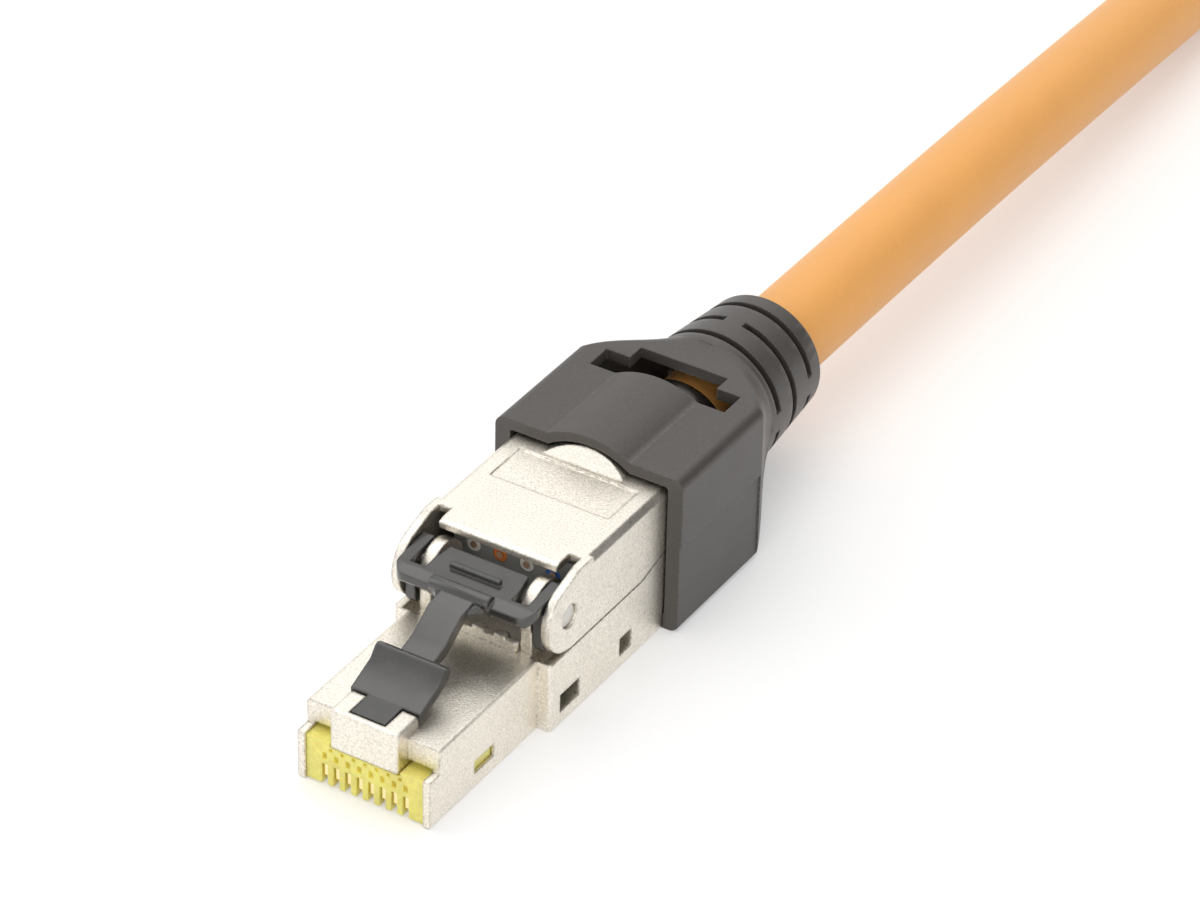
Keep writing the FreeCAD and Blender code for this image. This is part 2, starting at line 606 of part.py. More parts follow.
def make_latch():
    body = new_body("latch")
    tongue = s.TongueWidth / 2
    shoulder = s.ShoulderWidth / 2
    arm = s.ArmWidth / 2
    yoke = s.YokeWidth / 2
    pad(body, "YZ", -shoulder, shoulder,
        [(2.9, 6.8), (3.6, 6.95), (5.75, 7.9), (6.65, 8.4), (6.95, 8.95), (6.78, 9.38), (6.42, 9.52),
         (6.08, 9.4), (5.45, 8.62), (2.9, 7.55)])
    pad(body, "YZ", -tongue, tongue, [(0.68, 6.75), (3.3, 6.8), (3.3, 7.55), (0.68, 7.4)])
    pad(body, "YZ", -arm, arm,
        [(5.6, 7.75), (8.9, 8.65), (11.0, 10.05), (s.YokeCrease, s.YokeCreaseTop - s.YokeThick),
         (s.YokeCrease, s.YokeCreaseTop), (10.75, 10.95), (8.56, 9.5), (6.2, 8.75)])
    pad(body, "YZ", -yoke, yoke,
        [(s.YokeFront + 0.2, s.YokeFrontTop - s.YokeThick),
         (s.YokeCrease, s.YokeCreaseTop - s.YokeThick), (s.YokeRear, s.YokeRearTop - s.YokeRearThick),
         (s.YokeRear, s.YokeRearTop), (s.YokeCrease, s.YokeCreaseTop),
         (s.YokeFront, s.YokeFrontTop), (s.YokeFront, s.YokeFrontTop - s.YokeThick * 0.7)])
    # Round plan corners of the yoke, and round fillets where the arm widens into it
    bend = 1.3
    spare = 1
    for side in (-1, 1):
        corner = [(yoke - bend, s.YokeFront - spare), (yoke + spare, s.YokeFront - spare),
                  (yoke + spare, s.YokeFront + bend)]
        corner += arc_points(yoke - bend, s.YokeFront + bend, bend, 0, -90)
        pocket(body, "XY", s.YokeFrontTop - 2 * s.YokeThick, s.YokeRearTop,
               [(side * across, along) for across, along in corner][::side])
        flare = arc_points(arm + bend, s.YokeFront - bend, bend, 180, 90)
        flare += [(arm + bend, s.YokeFront + 0.2), (arm - 0.2, s.YokeFront + 0.2),
                  (arm - 0.2, s.YokeFront - bend)]
        pad(body, "XY", s.YokeFrontTop - s.YokeThick * 0.9, s.YokeFrontTop - 0.12,
            [(side * across, along) for across, along in flare][::-side])
    # Slots round the knuckles, open to the rear
    low = s.YokeFrontTop - 2 * s.YokeThick
    high = s.YokeRearTop + spare
    inner = s.KnuckleInner - s.SlotGap
    outer = s.KnuckleInner + s.KnuckleThick + s.SlotGap
    for side in (-1, 1):
        pocket(body, "XY", low, high,
               [(side * inner, s.YokeWindow), (side * outer, s.YokeWindow),
                (side * outer, s.YokeRear + spare), (side * (inner - 0.45), s.YokeRear + spare),
                (side * (inner - 0.35), s.YokeMiddleRear), (side * inner, s.YokeCrease + 1.4)][::side])
    pocket(body, "XY", low, high,
           box(-inner, s.YokeMiddleRear, inner, s.YokeRear + spare))
    # Legs beside the knuckles
    for side in (-1, 1):
        ends = sorted([side * s.LegInner, side * s.LegOuter], key=lambda size: size.value)
        pad(body, "YZ", ends[0], ends[1],
            [(s.LegFront + 0.3, s.LegFoot), (s.LegRear - 0.2, s.LegFoot),
             (s.LegRear, s.LegFoot + 0.2), (s.LegRear, s.YokeCreaseTop - 0.1),
             (s.LegFront, s.YokeCreaseTop - 0.2), (s.LegFront, s.LegFoot + 0.5)])
    # Finger bar and thin rib
    bar = s.FingerBarLength / 2
    pad(body, "YZ", -bar, bar, (s.YokeFront + 0.35, s.YokeFrontTop + 0.05, s.FingerBarRadius))
    rib = s.FingerRibLength / 2
    pad(body, "YZ", -rib, rib,
        box(s.YokeCrease + 1.15, s.YokeCreaseTop - 0.1, s.YokeCrease + 1.6, s.YokeCreaseTop + 0.5))
    return finish(body, "latch")


make_latch()


# Contact block and contacts

def contact_place(number):
    return s.ContactPitch * (number - 4.5)


def make_contact_block():
    body = new_body("contact_block")
    half = s.NoseWidth / 2 - s.NoseWall - s.BlockGap
    board_under = s.ShelfTop - s.SeatGap
    rear = s.ContactWindowEnd - 2 * s.BlockGap
    floor = s.NoseFloor + s.BlockGap
    pad(body, "YZ", -half, half,
        [(s.BlockFront, s.BlockUnder), (rear, s.BlockUnder), (rear, floor), (s.BlockEnd, floor),
         (s.BlockEnd, board_under), (s.BlockStep, board_under), (s.BlockStep, s.BlockTop - 0.75),
         (s.BridgeDepth + 1, s.BlockTop - 0.75), (s.BridgeDepth + 1, s.BlockTop - 0.4),
         (s.BlockFront, s.BlockTop - 0.4)])
    # Shoulders each side of the bridge
    bridge = s.BridgeWidth / 2 + s.BlockGap
    for side in (-1, 1):
        ends = sorted([side * (bridge + 0.1), side * half], key=lambda size: size.value)
        pad(body, "XZ", s.BlockFront, s.BridgeDepth + 1,
            box(ends[0], s.BlockTop - 0.6, ends[1], s.BlockTop))
    lug = s.NoseWidth / 2 - 0.25
    pad(body, "YZ", -lug, lug,
        box(s.NoseWindowFront + 0.15, s.NoseWindowLow + 0.1,
            s.NoseWindowRear - 0.2, s.NoseWindowHigh - 0.1))
    slots = []
    tails = []
    dimples = []
    small = 0.16
    for number in range(1, 8):
        middle = contact_place(number) + s.ContactPitch / 2
        dimples.append(box(middle - small, s.ContactSlotTop + 1.25, middle + small, s.ContactSlotTop + 1.57))
    for number in range(1, 9):
        left = contact_place(number) - s.ContactSlot / 2
        right = contact_place(number) + s.ContactSlot / 2
        slots.append(box(left, s.BlockUnder - 1, right, s.ContactSlotTop))
        tails.append(box(left, s.BlockUnder - 1, right, s.BlockTop + 1))
        dimples.append(box(left + 0.08, s.ContactSlotTop + 0.45, right - 0.08, s.ContactSlotTop + 1.05))
    pocket(body, "XZ", s.BlockFront - 1, s.BlockStep + 2, *slots)
    pocket(body, "XZ", s.BlockStep + 0.8, s.BlockStep + 2, *tails)
    pocket(body, "XZ", s.BlockFront - 1, s.BlockFront + 0.35, *dimples)
    return finish(body, "contact_block")


make_contact_block()


def make_contacts():
    board_under = s.ShelfTop + s.SeatGap
    for number in range(1, 9):
        body = new_body(f"contact_{number}")
        place = contact_place(number)
        tail = s.BlockStep + 1
        front = s.BlockFront + 0.22
        pad(body, "YZ", place - s.ContactThick / 2, place + s.ContactThick / 2,
            [(front, s.ContactEdge + 0.5), (front + 0.3, s.ContactEdge), (tail - 0.6, s.ContactEdge),
             (tail + 0.7, s.ContactEdge + 0.9), (tail + 0.7, board_under), (tail, board_under),
             (tail, s.ContactSlotTop - 0.1), (front, s.ContactSlotTop - 0.1)])
        finish(body, f"contact_{number}")


make_contacts()


def make_board():
    board = doc.addObject("Part::Box", "circuit_board")
    bind(board, "Length", s.BoardWidth)
    bind(board, "Width", s.BoardEnd - s.BoardFront)
    bind(board, "Height", s.BoardThick)
    bind(board, "Placement.Base.x", -s.BoardWidth / 2)
    bind(board, "Placement.Base.z", s.ShelfTop + s.SeatGap)
    shifts[board.Name] = s.BoardFront
    finish(board, "circuit_board")


make_board()


# Terminal block, terminals and wire manager

def wire_place(number):
    """Place across of wires 1 to 4 above and 5 to 8 below."""
    return s.WirePitch * ((number - 1) % 4 - 1.5)


def terminal_row(number):
    if number <= 4:
        return s.UpperTerminalPlace, s.UpperWireHeight
    return s.LowerTerminalPlace, s.LowerWireHeight


def terminal_slots(gap):
    """Outlines, from above, of the slots that hold the terminals."""
    slots = []
    for number in range(1, 9):
        middle = wire_place(number)
        along = terminal_row(number)[0]
        across = s.TerminalWidth / 2 + gap
        half = s.TerminalThick / 2 + gap
        slots.append(box(middle - across, along - half, middle + across, along + half))
    return slots


def make_terminal_block():
    body = new_body("terminal_block")
    low = s.ShelfTop + s.SeatGap * 2 + s.BoardThick
    half = s.CarrierWidth / 2
    pad(body, "XY", low, s.CarrierTop,
        box(-half, s.CarrierFront, half, s.CarrierEnd))
    pocket(body, "XY", low - 1, s.CarrierTop + 1, *terminal_slots(s.SeatGap))
    return finish(body, "terminal_block")


make_terminal_block()


def make_terminals():
    low = s.ShelfTop + s.SeatGap * 2 + s.BoardThick
    for number in range(1, 9):
        place, height = terminal_row(number)
        body = new_body(f"terminal_{number}")
        middle = wire_place(number)
        half = s.TerminalWidth / 2
        slot = s.TerminalSlot / 2
        top = height + s.TerminalReach
        pad(body, "XZ", place - s.TerminalThick / 2, place + s.TerminalThick / 2,
            [(middle - half, low), (middle + half, low), (middle + half, top - 0.35),
             (middle + slot + 0.15, top), (middle + slot, top - 0.3),
             (middle + slot, height - s.WireRadius - 0.05),
             (middle - slot, height - s.WireRadius - 0.05),
             (middle - slot, top - 0.3), (middle - slot - 0.15, top), (middle - half, top - 0.35)])
        finish(body, f"terminal_{number}")


make_terminals()


def make_wire_manager():
    body = new_body("wire_manager")
    half = s.ManagerWidth / 2
    low = s.CarrierTop + s.SeatGap
    pad(body, "XZ", s.ManagerFront, s.ManagerEnd, box(-half, low, half, s.ManagerTop))
    upper = [(wire_place(number), s.UpperWireHeight, s.WireHole) for number in range(1, 5)]
    lower = [(wire_place(number), s.LowerWireHeight, s.WireHole) for number in range(5, 9)]
    pocket(body, "XZ", s.ManagerFront - 1, s.ManagerEnd + 1, *upper)
    pocket(body, "XZ", s.LowerWireFront - 0.2, s.ManagerEnd + 1, *lower)
    slots = terminal_slots(2 * s.SeatGap)
    pocket(body, "XY", low - 1, s.UpperWireHeight + s.TerminalReach + s.SeatGap, *slots[:4])
    pocket(body, "XY", low - 1, s.LowerWireHeight + s.TerminalReach + s.SeatGap, *slots[4:])
    return finish(body, "wire_manager")


make_wire_manager()


# Wires, from the manager back into their pairs

def bent_path(points, share, largest=None):
    """Straight runs joined by tangent arcs; returns the wire, its radii and its length."""
    edges = []
    radii = []
    start = points[0]
    for index in range(1, len(points) - 1):
        before = points[index] - points[index - 1]
        after = points[index + 1] - points[index]
        turn = before.getAngle(after)
        reach = share * min(before.Length, after.Length)
        if largest is not None:
            reach = min(reach, largest * math.tan(turn / 2))
        radii.append(reach / math.tan(turn / 2))
        before.normalize()
        after.normalize()
        entry = points[index] - before * reach
        leave = points[index] + after * reach
        inward = (after - before).normalize()
        depth = radii[-1] * (1 / math.cos(turn / 2) - 1)
        edges.append(Part.LineSegment(start, entry).toShape())
        edges.append(Part.Arc(entry, points[index] + inward * depth, leave).toShape())
        start = leave
    edges.append(Part.LineSegment(start, points[-1]).toShape())
    wire = Part.Wire(edges)
    return wire, radii, wire.Length


def tube(wire, radius):
    """A round rod swept along a wire, with its volume compared with section times length."""
    start = wire.OrderedEdges[0]
    along = start.tangentAt(start.FirstParameter)
    place = start.valueAt(start.FirstParameter)
    rod = wire.makePipe(Part.Face(Part.Wire(Part.makeCircle(radius, place, along))))
    expected = math.pi * radius * radius * wire.Length
    if abs(rod.Volume - expected) > 0.01 * expected:
        raise ValueError(f"a swept rod has volume {rod.Volume}, not {expected}")
    return rod


def solid_node(name, shape):
    node = doc.addObject("Part::Feature", name)
    node.Shape = shape
    finish(node, name)
    return node


def make_wires():
    for number in range(1, 9):
        across = wire_place(number).value
        height = terminal_row(number)[1].value
        side = -1 if (number - 1) % 4 < 2 else 1
        row = 1 if number <= 4 else -1
        twin = -1 if (number - 1) % 2 == 0 else 1
        pair_across = side * s.PairOffset.value + twin * (s.WireRadius.value + 0.005)
        pair_height = s.CableHeight.value + row * s.PairOffset.value
        front = (s.ManagerFront if number <= 4 else s.LowerWireFront).value + 0.05
        end = s.CableStart.value - s.SeatGap.value
        bend_start = s.ManagerEnd.value + 0.5
        bend_end = s.FoilStart.value - 0.6
        points = [Vector(across, front, height), Vector(across, bend_start, height),
                  Vector(pair_across, bend_end, pair_height), Vector(pair_across, end, pair_height)]
        radius_of_bend = 3.0
        path = bent_path(points, 0.45, radius_of_bend)[0]
        core_points = [points[0] - Vector(0, 0.1, 0)] + points[1:]
        core_path = bent_path(core_points, 0.45, radius_of_bend)[0]
        core = tube(core_path, s.CoreRadius.value)
        cover = tube(path, s.WireRadius.value).cut(tube(core_path, s.CoreRadius.value + 0.01))
        thick = s.TerminalThick.value + 0.04
        blade = (s.TerminalWidth - s.TerminalSlot).value / 2
        inner = s.TerminalSlot.value / 2 - 0.005
        for left in (inner, -inner - blade):
            corner = Vector(across + left, terminal_row(number)[0].value - thick / 2,
                            height - s.WireRadius.value)
            cover = cover.cut(Part.makeBox(blade, thick, 2 * s.WireRadius.value, corner))
        solid_node(f"wire_{number}", cover)
        solid_node(f"core_{number}", core)


make_wires()


def ring_node(name, across, height, outer, inner, start, end):
    """A round sleeve along y."""
    body = new_body(name)
    pad(body, "XZ", start, end, (across, height, outer), (across, height, inner))
    finish(body, name)


def make_foils():
    number = 0
    for row in (1, -1):
        for side in (-1, 1):
            number += 1
            ring_node(f"pair_foil_{number}", side * s.PairOffset, s.CableHeight + row * s.PairOffset,
                      s.FoilRadius, s.FoilRadius - s.FoilThick, s.FoilStart,
                      s.CableStart - s.SeatGap)


make_foils()


# Braid, folded back over the jacket, and the sheet clamp that presses on it

def make_braid():
    body = new_body("braid")
    inner = s.CableRadius + s.SeatGap
    outer = inner + s.BraidThick
    lip = s.PairOffset * 1.42 + s.FoilRadius + s.SeatGap
    turned(body, "Revolution",
           [(s.BraidFront, lip), (s.CableStart - s.SeatGap, lip), (s.CableStart - s.SeatGap, inner),
            (s.BraidEnd, inner), (s.BraidEnd, outer), (s.BraidFront, outer)])
    return finish(body, "braid")


make_braid()


def make_clamp():
    body = new_body("cable_clamp")
    inner = s.CableRadius + 2 * s.SeatGap + s.BraidThick
    outer = inner + s.ClampThick
    cradle = s.CradleWidth / 2 + s.SeatGap
    side = cradle + s.ClampThick
    seat = s.CableHeight + s.SeatGap
    pad(body, "XZ", s.ClampFront, s.ClampEnd, (0, s.CableHeight, outer))
    pad(body, "XZ", s.ClampFront, s.ClampEnd, box(-side, s.ClampLegFoot, side, seat + s.ClampThick))
    pocket(body, "XZ", s.ClampFront - 1, s.ClampEnd + 1, (0, s.CableHeight, inner))
    pocket(body, "XZ", s.ClampFront - 1, s.ClampEnd + 1, box(-cradle, 0, cradle, seat))
    return finish(body, "cable_clamp")


make_clamp()


# Hood: a box with an arched roof that narrows to a slotted boot

def hood_section(place, wall, roof):
    """Outline of the hood at a place along y, brought in by the wall and the roof."""
    half, low, high, corner = place
    return rounded(half - wall, low + wall, high - roof, corner - wall * 0.75)


def make_hood():
    body = new_body("hood")
    half = s.HoodWidth / 2
    spare = 1
    root = s.BootRootRadius
    span = s.BootStart - s.HoodTaper
    straight = (half, as_size(0), s.HoodTop, s.HoodCorner)
    shoulder = (half - 1.0, as_size(0.75), s.HoodTop, s.HoodCorner + 1.1)
    neck = (half - 1.95, as_size(1.75), s.HoodTop - 0.05, s.HoodCorner + 2.9)
    inset = 0.04
    boot = (root - inset, s.CableHeight - root + inset, s.CableHeight + root - inset,
            root - 2 * inset)
    places = [(s.HoodTaper, straight), (s.HoodTaper + span * 0.36, shoulder),
              (s.HoodTaper + span * 0.68, neck), (s.BootStart, boot)]
    pad(body, "XZ", s.HoodStart, s.HoodTaper, rounded(*straight))
    loft(body, "AdditiveLoft", [(place, rounded(*size)) for place, size in places])
    pad(body, "XZ", s.HoodStart, s.TeeStart + spare / 2,
        (0, s.ArchTop - s.ArchRadius, s.ArchRadius))
    turned(body, "Revolution",
           [(s.BootStart - spare / 2, 0), (s.PlugLength, 0), (s.PlugLength, s.BootEndRadius),
            (s.BootStart, root), (s.BootStart - spare / 2, root)])
    # Cavity, the housing's size and a gap at the front, then in step with the outside
    cavity = s.HoodWall
    inner_straight = (half, as_size(0), s.HoodTop, s.HoodCorner + 0.4)
    pocket(body, "XZ", s.HoodStart - spare, s.HoodTaper,
           hood_section(inner_straight, cavity, s.HoodRoof))
    pocket(body, "XZ", s.HoodStart - spare, s.TeeStart + spare,
           (0, s.ArchHollowTop - s.ArchHollowRadius, s.ArchHollowRadius))
    throat = s.BootBore + 0.02
    inner_places = [(s.HoodTaper - 0.01, hood_section(inner_straight, cavity, s.HoodRoof)),
                    (s.HoodTaper + span * 0.36, hood_section(shoulder, cavity, s.HoodRoof)),
                    (s.HoodTaper + span * 0.68, hood_section(neck, cavity, s.HoodRoof)),
                    (s.BootStart - 0.3, rounded(throat, s.CableHeight - throat,
                                                s.CableHeight + throat, throat - 0.03))]
    loft(body, "SubtractiveLoft", inner_places)
    pocket(body, "XZ", s.BootStart - spare, s.PlugLength + spare, (0, s.CableHeight, s.BootBore))
    # Window in the roof, in the shape of a T
    wide = s.TeeWide / 2
    narrow = s.TeeNarrow / 2
    pocket(body, "XY", s.HoodTop - 2 * s.HoodRoof, s.ArchTop + spare,
           [(-wide, s.TeeStart), (wide, s.TeeStart), (wide, s.TeeWideEnd), (narrow, s.TeeWideEnd),
            (narrow, s.TeeEnd), (-narrow, s.TeeEnd), (-narrow, s.TeeWideEnd), (-wide, s.TeeWideEnd)])
    # Rows of bend slots, with ribs at the sides and then at top and bottom
    reach = root + spare
    rib = s.SlotRib / 2
    for row in range(3):
        middle = s.SlotPlace + s.SlotPitch * row
        start = middle - s.SlotWidth / 2
        end = middle + s.SlotWidth / 2
        if row == 1:
            cuts = [box(rib, s.CableHeight - reach, reach, s.CableHeight + reach),
                    box(-reach, s.CableHeight - reach, -rib, s.CableHeight + reach)]
        else:
            cuts = [box(-reach, s.CableHeight + rib, reach, s.CableHeight + reach),
                    box(-reach, s.CableHeight - reach, reach, s.CableHeight - rib)]
        pocket(body, "XZ", start, end, *cuts)
    # Moulding line on both sides, with the lower half a little narrower
    for start, end in ((-half - spare, -half + s.PartingDepth), (half - s.PartingDepth, half + spare)):
        pocket(body, "YZ", start, end, box(s.HoodStart - spare, -spare, s.HoodTaper, s.PartingHeight))
    return finish(body, "hood")


make_hood()


# Cable: the free sample of installation cable, held in the clamp, out through the boot

cable_route = [
    Vector(0.0, 37.0, 8.1),
    Vector(0.0, 79.0, 8.1),
    Vector(-0.3, 121.0, 6.5),
    Vector(-1.5, 145.0, 3.8),
]


def make_cable():
    cable_route[0].y = s.CableStart.value
    cable_route[0].z = cable_route[1].z = s.CableHeight.value
    path, radii, length = bent_path(cable_route, 0.45)
    print("cable bend radii", [round(radius, 1) for radius in radii], "length", round(length, 1))
    solid_node("cable", tube(path, s.CableRadius.value))
    # Cut end: four pairs, each with two cores, a little proud of the jacket
    last = cable_route[-1]
    along = (last - cable_route[-2]).normalize()
    turn = Rotation(Vector(0, 1, 0), along)
    pairs = []
    cores = []
    for row in (1, -1):
        for side in (-1, 1):
            middle = Vector(side * s.PairOffset.value, 0, row * s.PairOffset.value)
            place = last + turn.multVec(middle)
            pairs.append(Part.makeCylinder(s.FoilRadius.value - 0.02, 0.6, place, along))
            for twin in (-1, 1):
                offset = Vector(twin * s.WireRadius.value, 0, 0)
                core_place = place + turn.multVec(offset) + along * 0.6
                cores.append(Part.makeCylinder(s.CoreRadius.value, 0.5, core_place, along))
    solid_node("cable_end_pairs", Part.makeCompound(pairs))
    solid_node("cable_end_cores", Part.makeCompound(cores))


make_cable()

# Check every object and every piece, then write the files

doc.recompute()
problems = [thing.Name for thing in doc.Objects if {"Invalid", "Error"} & set(thing.State)]
for node in nodes:
    if node.Shape.isNull() or not node.Shape.isValid() or not node.Shape.Solids:
        problems.append(node.Label)
if problems:
    raise ValueError(f"these did not build: {problems}")

for node in nodes:
    node.Shape.exportStep(f"parts/{node.Label}.step")
whole = Part.makeCompound([node.Shape for node in nodes if not node.Label.startswith("cable")
                           or node.Label == "cable_clamp"])
print("pieces", len(nodes), "box", whole.BoundBox)
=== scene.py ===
import json
import math

import bmesh
import bpy
from mathutils import Matrix, Vector


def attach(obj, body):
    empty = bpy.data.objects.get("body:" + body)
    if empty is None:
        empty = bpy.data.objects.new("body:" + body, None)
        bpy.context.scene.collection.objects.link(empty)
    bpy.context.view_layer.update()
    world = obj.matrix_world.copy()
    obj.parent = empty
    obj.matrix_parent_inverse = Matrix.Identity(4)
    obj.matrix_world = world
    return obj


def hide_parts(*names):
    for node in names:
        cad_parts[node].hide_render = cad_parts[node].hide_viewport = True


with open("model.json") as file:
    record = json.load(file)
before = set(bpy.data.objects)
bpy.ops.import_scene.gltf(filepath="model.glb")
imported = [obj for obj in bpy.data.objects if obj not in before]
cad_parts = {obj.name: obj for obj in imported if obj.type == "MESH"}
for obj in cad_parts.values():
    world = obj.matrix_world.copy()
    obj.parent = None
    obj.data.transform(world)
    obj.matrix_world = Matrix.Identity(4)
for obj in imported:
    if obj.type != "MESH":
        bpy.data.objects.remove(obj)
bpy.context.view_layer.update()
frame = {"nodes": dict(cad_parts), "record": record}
nodes = frame["nodes"]
record = frame["record"]
scene = bpy.context.scene
scene.view_settings.view_transform = "Standard"
print("frame loaded,", len(nodes), "nodes")

mm = 0.001  # sizes below are in millimetres, places in the plug's own frame

# Camera: a long lens, a little rolled, from the front right and above
cameraSizes = {
    "azimuth": 31.27,
    "elevation": 34.55,
    "roll": 1.38,
    "distance": 361.75,
    "target": (8.61, -10.5, 24.39),
    "lens": 150.0,
    "clip": (20.0, 10000.0),
}


def makeCamera(sizes):
    turn, lift, roll = (math.radians(sizes[name]) for name in ("azimuth", "elevation", "roll"))
    right = Vector((math.cos(turn), math.sin(turn), 0))
    back = Vector((math.sin(turn) * math.cos(lift), -math.cos(turn) * math.cos(lift), math.sin(lift)))
    up = back.cross(right)
    rolledRight = right * math.cos(roll) + up * math.sin(roll)
    rolledUp = up * math.cos(roll) - right * math.sin(roll)
    data = bpy.data.cameras.new("photoCamera")
    data.lens = sizes["lens"]
    data.clip_start, data.clip_end = (reach * mm for reach in sizes["clip"])
    camera = bpy.data.objects.new("photoCamera", data)
    scene.collection.objects.link(camera)
    place = (Vector(sizes["target"]) + back * sizes["distance"]) * mm
    axes = Matrix((rolledRight, rolledUp, back)).transposed()
    camera.matrix_world = Matrix.Translation(place) @ axes.to_4x4()
    scene.camera = camera


makeCamera(cameraSizes)
print("camera placed")


# Shader groups shared by the finishes
def newGroup(name, inputs, outputs):
    group = bpy.data.node_groups.new(name, "ShaderNodeTree")
    for socketName, kind, value in inputs:
        socket = group.interface.new_socket(socketName, in_out="INPUT", socket_type=kind)
        socket.default_value = value
    for socketName, kind in outputs:
        group.interface.new_socket(socketName, in_out="OUTPUT", socket_type=kind)
    return group, group.nodes.new("NodeGroupInput"), group.nodes.new("NodeGroupOutput")


def linkOrSet(tree, socket, value):
    if hasattr(value, "is_linked"):
        tree.links.new(value, socket)
    else:
        socket.default_value = value


def mathNode(tree, operation, first, second=None, clamp=False):
    node = tree.nodes.new("ShaderNodeMath")
    node.operation = operation
    node.use_clamp = clamp
    for socket, value in zip(node.inputs, (first, second)):
        if value is not None:
            linkOrSet(tree, socket, value)
    return node.outputs[0]


def mixColour(tree, factor, first, second, blend="MIX"):
    node = tree.nodes.new("ShaderNodeMix")
    node.data_type = "RGBA"
    node.blend_type = blend
    colourInputs = (0, 6, 7)  # the mix node's factor and its two colours
    for place, value in zip(colourInputs, (factor, first, second)):
        linkOrSet(tree, node.inputs[place], value)
    colourOutput = 2
    return node.outputs[colourOutput]


def rampNode(tree, value, stops):
    # Black up to the first stop, white from the second
    node = tree.nodes.new("ShaderNodeValToRGB")
    for element, place in zip(node.color_ramp.elements, stops):
        element.position = place
    tree.links.new(value, node.inputs[0])
    return node.outputs[0]


def noiseNode(tree, coordinates, scale, detail, roughness):
    node = tree.nodes.new("ShaderNodeTexNoise")
    tree.links.new(coordinates, node.inputs["Vector"])
    for name, value in (("Scale", scale), ("Detail", detail), ("Roughness", roughness)):
        linkOrSet(tree, node.inputs[name], value)
    return node.outputs[0]


def bumpNode(tree, height, strength, distance):
    node = tree.nodes.new("ShaderNodeBump")
    for name, value in (("Height", height), ("Strength", strength), ("Distance", distance)):
        linkOrSet(tree, node.inputs[name], value)
    return node.outputs[0]


grainShape = {
    "middle": 0.5,
    "detail": 3.0,
    "grainRoughness": 0.65,
    "cloudRoughness": 0.5,
    "roughnessFollows": 1.2,
}


def buildGrainGroup(shape):
    # A sand-fine surface: speckled brightness, a cloudy roughness and a tiny relief
    group, into, out = newGroup(
        "fineGrain",
        [("Colour", "NodeSocketColor", (0.8, 0.8, 0.8, 1)), ("Grain scale", "NodeSocketFloat", 9000.0),
         ("Cloud scale", "NodeSocketFloat", 400.0), ("Speckle", "NodeSocketFloat", 0.1),
         ("Cloud", "NodeSocketFloat", 0.06), ("Roughness", "NodeSocketFloat", 0.35),
         ("Relief", "NodeSocketFloat", 0.5), ("Depth", "NodeSocketFloat", 0.00001)],
        [("Colour", "NodeSocketColor"), ("Roughness", "NodeSocketFloat"), ("Normal", "NodeSocketVector"),
         ("Grain", "NodeSocketFloat")])
    place = group.nodes.new("ShaderNodeTexCoord").outputs["Object"]
    grain = noiseNode(group, place, into.outputs["Grain scale"], shape["detail"], shape["grainRoughness"])
    cloud = noiseNode(group, place, into.outputs["Cloud scale"], shape["detail"], shape["cloudRoughness"])
    grainSwing = mathNode(group, "SUBTRACT", grain, shape["middle"])
    cloudSwing = mathNode(group, "SUBTRACT", cloud, shape["middle"])
    speckle = mathNode(group, "MULTIPLY", grainSwing, into.outputs["Speckle"])
    shade = mathNode(group, "MULTIPLY", cloudSwing, into.outputs["Cloud"])
    level = mathNode(group, "ADD", mathNode(group, "ADD", speckle, shade), 1.0)
    grey = group.nodes.new("ShaderNodeCombineColor")
    for socket in grey.inputs[:3]:
        group.links.new(level, socket)
    colour = mixColour(group, 1.0, into.outputs["Colour"], grey.outputs[0], "MULTIPLY")
    follow = mathNode(group, "MULTIPLY", shade, shape["roughnessFollows"])
    rough = mathNode(group, "ADD", into.outputs["Roughness"], follow)
    group.links.new(colour, out.inputs["Colour"])
    group.links.new(rough, out.inputs["Roughness"])
    normal = bumpNode(group, grain, into.outputs["Relief"], into.outputs["Depth"])
    group.links.new(normal, out.inputs["Normal"])
    group.links.new(grain, out.inputs["Grain"])
    return group


edgeShape = {
    "samples": 4,
    "bend": (0.012, 0.11),
    "breaks": (0.4, 0.62),
    "detail": 4.0,
    "roughness": 0.6,
}


def buildEdgeGroup(shape):
    # A rounded normal, and a mask of the edges where it turns away from the true one, broken up by noise; the
    # mask places a painted reflection along the edges
    group, into, out = newGroup(
        "paintedEdgeReflection",
        [("Amount", "NodeSocketFloat", 0.5), ("Break-up", "NodeSocketFloat", 900.0),
         ("Width", "NodeSocketFloat", 0.00015)],
        [("Mask", "NodeSocketFloat"), ("Normal", "NodeSocketVector")])
    soft = group.nodes.new("ShaderNodeBevel")
    soft.samples = shape["samples"]
    group.links.new(into.outputs["Width"], soft.inputs["Radius"])
    turned = group.nodes.new("ShaderNodeVectorMath")
    turned.operation = "DOT_PRODUCT"
    group.links.new(soft.outputs[0], turned.inputs[0])
    group.links.new(group.nodes.new("ShaderNodeNewGeometry").outputs["True Normal"], turned.inputs[1])
    place = group.nodes.new("ShaderNodeTexCoord").outputs["Object"]
    bend = mathNode(group, "SUBTRACT", 1.0, turned.outputs["Value"])
    edge = rampNode(group, bend, shape["bend"])
    noise = noiseNode(group, place, into.outputs["Break-up"], shape["detail"], shape["roughness"])
    mask = mathNode(group, "MULTIPLY", edge, rampNode(group, noise, shape["breaks"]))
    amount = mathNode(group, "MULTIPLY", mask, into.outputs["Amount"], clamp=True)
    group.links.new(amount, out.inputs["Mask"])
    group.links.new(soft.outputs[0], out.inputs["Normal"])
    return group


grainGroup = buildGrainGroup(grainShape)
edgeGroup = buildEdgeGroup(edgeShape)


def useGroup(tree, group, values):
    node = tree.nodes.new("ShaderNodeGroup")
    node.node_tree = group
    for name, value in values.items():
        node.inputs[name].default_value = value
    return node


